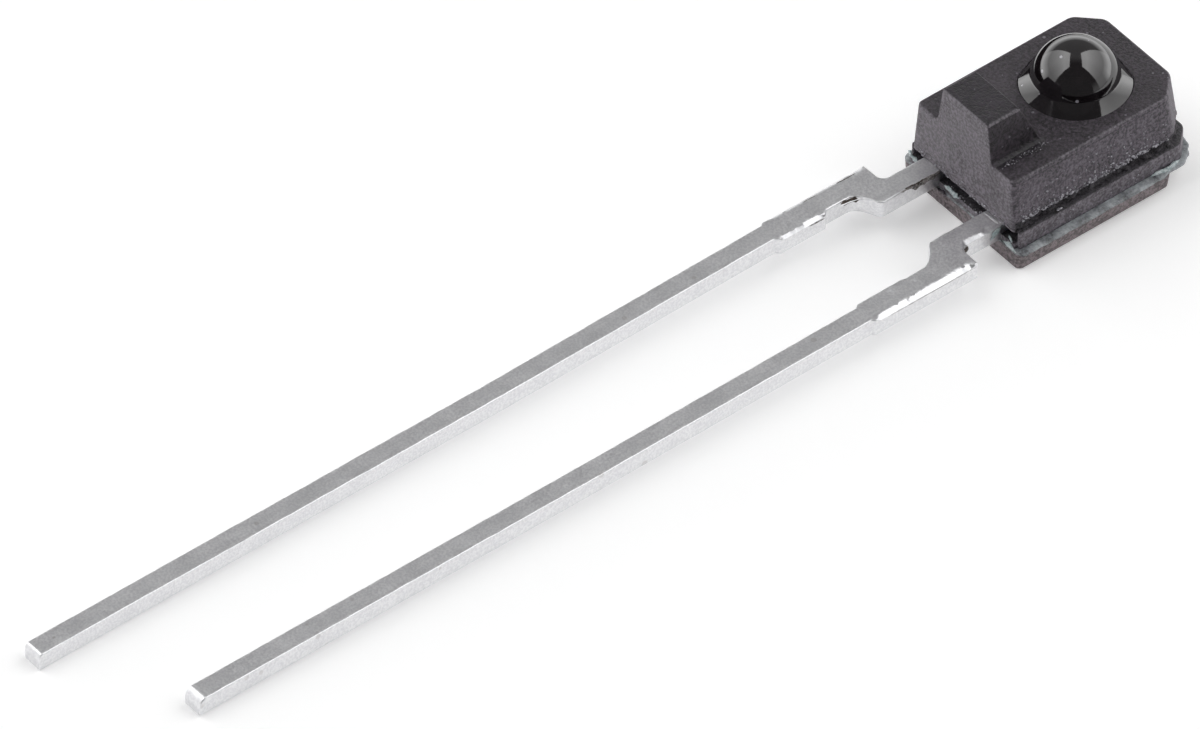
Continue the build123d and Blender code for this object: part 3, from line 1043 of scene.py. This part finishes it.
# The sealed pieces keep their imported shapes
innerLooks = {
    "chip": ("chipSilicon", 0.3, {
        "size": 0.05, "patch": 0.3, "rough": (0.0, 1.0, 0.144, 0.216), "bump": 0.005,
        "colours": ((0.03, 0.03, 0.045, 1), (0.09, 0.09, 0.13, 1))}),
    "die_attach": ("silverAdhesive", 0.6, {
        "size": 0.02, "patch": 0.12, "rough": (0.0, 1.0, 0.4, 0.6), "bump": 0.002,
        "colours": ((0.35, 0.35, 0.35, 1), (0.6, 0.6, 0.6, 1))}),
    "bond_wire": ("goldWire", 1.0, {
        "size": 0.02, "patch": 0.12, "rough": (0.0, 1.0, 0.2, 0.3), "bump": 0.002,
        "colours": ((0.80, 0.52, 0.18, 1), (0.95, 0.70, 0.32, 1))}),
}
for node, (name, metallic, look) in innerLooks.items():
    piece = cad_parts[node]
    piece.data.materials.clear()
    piece.data.materials.append(makePlain(name, look, Metallic=metallic))

# Camera, on a long lens at the photograph's angle; its distance is in metres
view = {"back": (0.5598, -0.4485, 0.6968), "right": (0.6269, 0.7791, -0.0022),
        "target": (-0.570, -9.793, 0.706), "distance": 0.57, "frameWidth": 20.03,
        "sensor": 10.0, "clip": (0.05, 50)}
backWay = Vector(view["back"]).normalized()
rightWay = Vector(view["right"])
rightWay = (rightWay - backWay * rightWay.dot(backWay)).normalized()
towardCamera = Vector((backWay.x, backWay.y, 0)).normalized()
toTheRight = Vector((rightWay.x, rightWay.y, 0)).normalized()


def placed(centre, across, along, facing):
    return Matrix.Translation(centre) @ Matrix((across, along, facing)).transposed().to_4x4()


cameraData = bpy.data.cameras.new("photoCamera")
cameraData.sensor_width = view["sensor"]
cameraData.lens = view["sensor"] * view["distance"] / (view["frameWidth"] * mm)
cameraData.clip_start, cameraData.clip_end = view["clip"]
camera = linkObject("photoCamera", cameraData)
camera.matrix_world = placed(Vector(view["target"]) * mm + backWay * view["distance"],
                             rightWay, backWay.cross(rightWay), backWay)
bpy.context.scene.camera = camera

# Two tall soft boxes lean over the part, left and right of the camera; lengths in metres
softBox = {"height": 0.5, "footOut": 0.225, "topOut": 0.125, "halfWidth": 0.17, "angle": 97,
           "radiance": 2.05, "fadeTo": 0.62, "footShare": 0.12}


def addSoftBox(name, side):
    turned = radians(softBox["angle"])
    out = towardCamera * cos(turned) + toTheRight * side * sin(turned)
    foot = out * softBox["footOut"]
    top = out * softBox["topOut"] + upward * softBox["height"]
    along = (top - foot).normalized()
    across = upward.cross(out).normalized()
    facing = across.cross(along)
    if facing.dot(out) < 0:
        across, facing = -across, -facing
    lamp = bpy.data.lights.new(name, "AREA")
    lamp.shape = "RECTANGLE"
    lamp.size = softBox["halfWidth"] * 2
    lamp.size_y = (top - foot).length
    lamp.energy = softBox["radiance"] * pi * lamp.size * lamp.size_y
    lamp.use_nodes = True
    tree = lamp.node_tree
    tree.nodes.clear()
    place = addNode(tree, "SeparateXYZ", {0: addNode(tree, "NewGeometry").outputs["Parametric"]})
    fade = spread(tree, place.outputs["Y"], 0.0, softBox["fadeTo"], softBox["footShare"], 1.0)
    glow = addNode(tree, "Emission", {"Color": white, "Strength": fade})
    addNode(tree, "OutputLight", {"Surface": glow.outputs[0]})
    holder = linkObject(name, lamp)
    holder.matrix_world = placed((foot + top) / 2, across, along, facing)
    holder.visible_camera = False


addSoftBox("softBoxLeft", -1)
addSoftBox("softBoxRight", 1)

# Studio round the part: a bright sweep low down behind, dim above and towards the camera
studio = {"sweepTop": 0.38, "sweepFull": 0.12, "sweepBehind": 1.9, "sweepFront": 0.42,
          "above": 0.27, "front": 0.08, "blend": 0.15}


def makeWorld():
    world = bpy.data.worlds.new("studio")
    bpy.context.scene.world = world
    world.use_nodes = True
    tree = world.node_tree
    tree.nodes.clear()
    way = addNode(tree, "TexCoord").outputs["Generated"]
    rise = addNode(tree, "SeparateXYZ", {0: way}).outputs["Z"]
    away = addNode(tree, "VectorMath", {0: way, 1: -towardCamera},
                   operation="DOT_PRODUCT").outputs["Value"]
    behind = spread(tree, away, -studio["blend"], studio["blend"])
    low = spread(tree, rise, studio["sweepTop"], studio["sweepFull"])
    high = spread(tree, behind, 0, 1, studio["front"], studio["above"])
    sweep = spread(tree, behind, 0, 1, studio["sweepFront"], studio["sweepBehind"])
    level = maths(tree, "ADD", times(tree, sweep, low),
                  times(tree, high, maths(tree, "SUBTRACT", 1.0, low)))
    ray = addNode(tree, "LightPath").outputs
    shown = maths(tree, "MAXIMUM", ray["Is Camera Ray"], ray["Is Transmission Ray"])
    mirrored = times(tree, ray["Is Glossy Ray"], times(tree, low, behind))
    room = addNode(tree, "Background", {"Color": white, "Strength": level})
    backdrop = addNode(tree, "Background", {"Color": white,
                                            "Strength": maths(tree, "MAXIMUM", level, 1.0)})
    mixed = addNode(tree, "MixShader", {0: maths(tree, "MAXIMUM", shown, mirrored),
                                        1: room.outputs[0], 2: backdrop.outputs[0]})
    addNode(tree, "OutputWorld", {"Surface": mixed.outputs[0]})


makeWorld()

# Floor, in millimetres: the part rests on the lead-end edge of its back and on its lead tips
ground = {"size": 3.0, "pivotY": -2.44, "tipY": -21.35, "tipZ": 0.37, "clearance": 0.004,
          "colour": 0.86, "glow": 0.27}


def floorLevel(y):
    slope = ground["tipZ"] / (ground["pivotY"] - ground["tipY"])
    return -slope * (y - ground["pivotY"])


def addSheet(name, corners, colour, glow, unseenBy=()):  # matt, part of the stage
    material, tree, shader = newMaterial(name, Roughness=1.0, Base_Color=(*[colour] * 3, 1),
                                         Specular_IOR_Level=0.0, Emission_Color=white,
                                         Emission_Strength=glow)
    mesh = bpy.data.meshes.new(name)
    mesh.from_pydata([Vector(corner) * mm for corner in corners], [], [(0, 1, 2, 3)])
    mesh.materials.append(material)
    sheet = linkObject(name, mesh)
    for ray in unseenBy:
        setattr(sheet, "visible_" + ray, False)
    return tree, shader


def rectangle(low, high, lift):
    (x0, y0), (x1, y1) = low, high
    return [(x, y, floorLevel(y) + lift) for x, y in ((x0, y0), (x1, y0), (x1, y1), (x0, y1))]


def makeFloor():
    half = ground["size"] / 2 / mm
    corners = rectangle((-half, -half), (half, half), -ground["clearance"])
    tree, shader = addSheet("floor", corners, ground["colour"], ground["glow"])
    ray = addNode(tree, "LightPath").outputs
    shown = maths(tree, "MAXIMUM", ray["Is Camera Ray"],
                  maths(tree, "MAXIMUM", ray["Is Glossy Ray"], ray["Is Transmission Ray"]))
    tree.links.new(times(tree, shown, ground["glow"]), shader.inputs["Emission Strength"])


makeFloor()

# Black cards on the floor and a dim upright one before the part, seen only in its gloss
cards = {"floor": (((6.5, -300), (300, 14)), ((-300, -300), (-6.0, 8)),
                   ((-6.0, -300), (6.5, -27))),
         "lift": 0.02, "away": 450, "halfWidth": 420, "height": 470, "uprightGlow": 0.09,
         "colour": 0.01}


def addCard(name, corners, glow=0.0):
    addSheet(name, corners, cards["colour"], glow, ("camera", "diffuse", "shadow"))


def makeCards():
    for number, (low, high) in enumerate(cards["floor"]):
        addCard("floorCard%d" % number, rectangle(low, high, cards["lift"]))
    foot = towardCamera * cards["away"]
    wide = toTheRight * cards["halfWidth"]
    rise = upward * cards["height"]
    addCard("uprightCard", [foot - wide, foot + wide, foot + wide + rise, foot - wide + rise],
            cards["uprightGlow"])


makeCards()
bpy.context.scene.view_settings.view_transform = "Standard"
print("camera, lamps, world and floor set")
